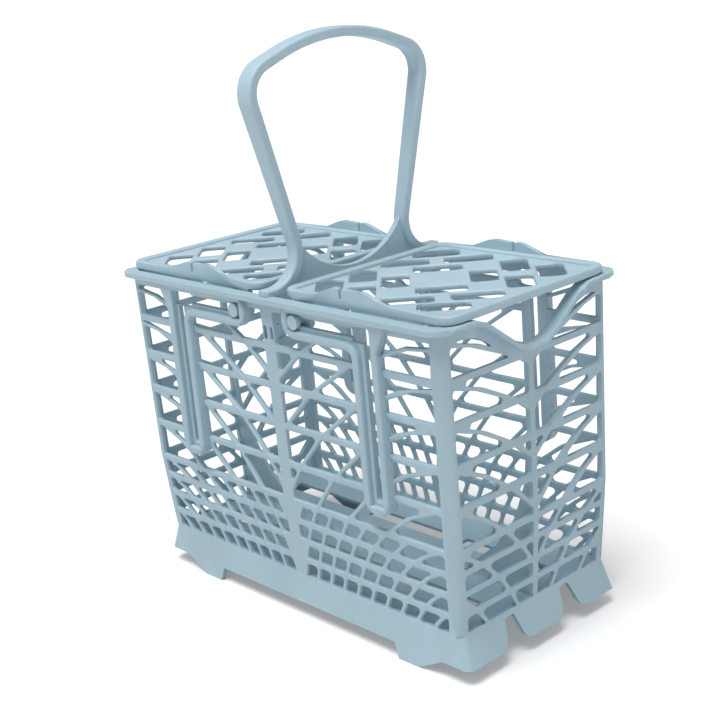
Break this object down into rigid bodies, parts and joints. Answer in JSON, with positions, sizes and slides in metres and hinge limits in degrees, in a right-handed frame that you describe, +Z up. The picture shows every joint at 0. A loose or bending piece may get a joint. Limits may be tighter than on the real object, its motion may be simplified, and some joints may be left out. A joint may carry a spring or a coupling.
{
  "type": "dishwasher cutlery basket",
  "caption": "Lidded cutlery basket for a dishwasher, with lattice walls, a flared skirt on feet, a bow handle and hinged lids whose pins run in bent tracks.",
  "frame": {"origin": "bottom centre of the bounding box, on the plane of the feet, under the middle of the handle", "axes": "+X along the basket towards one lid's free end, +Y across the basket, +Z up"},
  "size_m": [0.213, 0.113, 0.2606],
  "materials": {
    "plastic": "satin"
  },
  "bodies": {
    "basket": {"basket": "plastic", "handle": "plastic"},
    "right_lid": {"lid_right": "plastic"},
    "left_lid": {"lid_left": "plastic"}
  },
  "joints": [
    {"name": "right_lid_hinge", "type": "hinge", "parent": "basket", "child": "right_lid", "pos_m": [0.02, 0, 0.145], "axis": [0, -1, 0], "range_deg": [0, 90]},
    {"name": "left_lid_hinge", "type": "hinge", "parent": "basket", "child": "left_lid", "pos_m": [-0.02, 0, 0.145], "axis": [0, 1, 0], "range_deg": [0, 90]}
  ]
}
